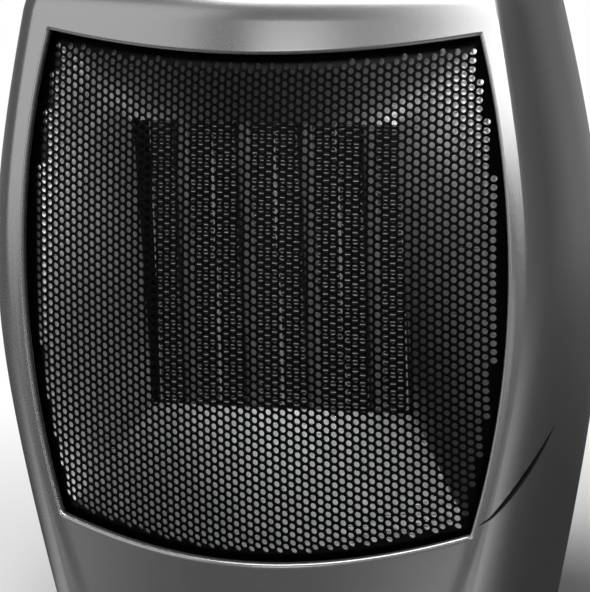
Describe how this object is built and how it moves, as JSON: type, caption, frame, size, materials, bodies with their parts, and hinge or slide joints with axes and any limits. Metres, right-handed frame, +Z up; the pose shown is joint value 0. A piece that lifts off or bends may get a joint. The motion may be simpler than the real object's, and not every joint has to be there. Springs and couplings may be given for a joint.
{
  "type": "ceramic fan heater",
  "caption": "Barrel-fronted ceramic fan heater: moulded casing, black perforated grille over a bright funnel and finned element, shrouded fan and motor, deck knobs, rear intake, tip switch.",
  "frame": {"origin": "on the ground below the middle of the casing's width and depth", "axes": "+X to the right, +Y towards the rear intake, +Z up; the grille faces -Y"},
  "size_m": [0.1828, 0.138, 0.234],
  "materials": {
    "casing": "satin metallic grey moulding",
    "black_plastic": "fine spark-eroded black moulding",
    "mesh_paint": "perforated steel, black satin stove paint",
    "duct_sheet": "satin bright sheet",
    "frame_resin": "heat-resisting black resin",
    "tube_alloy": "extruded, bare",
    "fin_alloy": "rolled foil, bare",
    "terminal_brass": "punched, bare",
    "plated_steel": "zinc plated",
    "ceramic": "glazed ceramic",
    "fan_resin": "glass-filled resin",
    "core_steel": "punched laminations",
    "winding": "enamelled copper wire",
    "rotor_alloy": "die cast and turned",
    "ground_steel": "ground steel",
    "phenolic": "brown phenolic resin",
    "switch_resin": "black nylon",
    "lens_amber": "clear amber moulding",
    "lamp_glass": "clear glass",
    "white_nylon": "natural nylon",
    "spring_wire": "spring wire",
    "foot_rubber": "soft black rubber"
  },
  "bodies": {
    "root": {"front_frame": "casing", "rear_shell": "casing", "base_pan": "black_plastic", "rubber_feet": "foot_rubber", "control_panel": "black_plastic", "mesh_grille": "mesh_paint", "duct_funnel": "duct_sheet", "element_frame": "frame_resin", "heating_tubes": "tube_alloy", "fin_packs": "fin_alloy", "terminal_blades": "terminal_brass", "thermal_cutout": "plated_steel", "thermal_fuse": "ceramic", "fan_shroud": "fan_resin", "motor_stack": "core_steel", "motor_coil": "winding", "bearing_plates": "plated_steel", "motor_screws": "plated_steel", "intake_grille": "black_plastic", "handle_pocket": "black_plastic", "thermostat_body": "phenolic", "mode_switch": "switch_resin", "spindle_nuts": "plated_steel", "indicator_lens": "lens_amber", "indicator_lamp": "lamp_glass", "switch_bracket": "plated_steel", "tip_switch": "switch_resin", "terminal_block": "white_nylon", "cord_gland": "black_plastic", "seam_screws": "plated_steel", "shroud_screws": "plated_steel", "base_screws": "plated_steel"},
    "thermostat_dial": {"thermostat_knob": "black_plastic", "thermostat_spindle": "ground_steel"},
    "mode_dial": {"mode_knob": "black_plastic", "mode_spindle": "ground_steel"},
    "fan": {"impeller": "fan_resin", "motor_rotor": "rotor_alloy", "motor_shaft": "ground_steel"},
    "plunger": {"tip_plunger": "white_nylon", "plunger_spring": "spring_wire"}
  },
  "joints": [
    {"name": "thermostat_turn", "type": "hinge", "parent": "root", "child": "thermostat_dial", "pos_m": [-0.03, 0.01, 0.2195], "axis": [0, 0, -1], "range_deg": [0, 270]},
    {"name": "mode_turn", "type": "hinge", "parent": "root", "child": "mode_dial", "pos_m": [0.03, 0.01, 0.2195], "axis": [0, 0, -1], "range_deg": [0, 135]},
    {"name": "fan_spin", "type": "hinge", "parent": "root", "child": "fan", "pos_m": [0, 0.026, 0.1327], "axis": [0, 1, 0], "continuous": true},
    {"name": "plunger_slide", "type": "slide", "parent": "root", "child": "plunger", "axis": [0, 0, -1], "range_m": [0, 0.004], "stiffness_N_per_m": 50, "springref_m": 0.004, "deforming": ["plunger_spring"]}
  ]
}
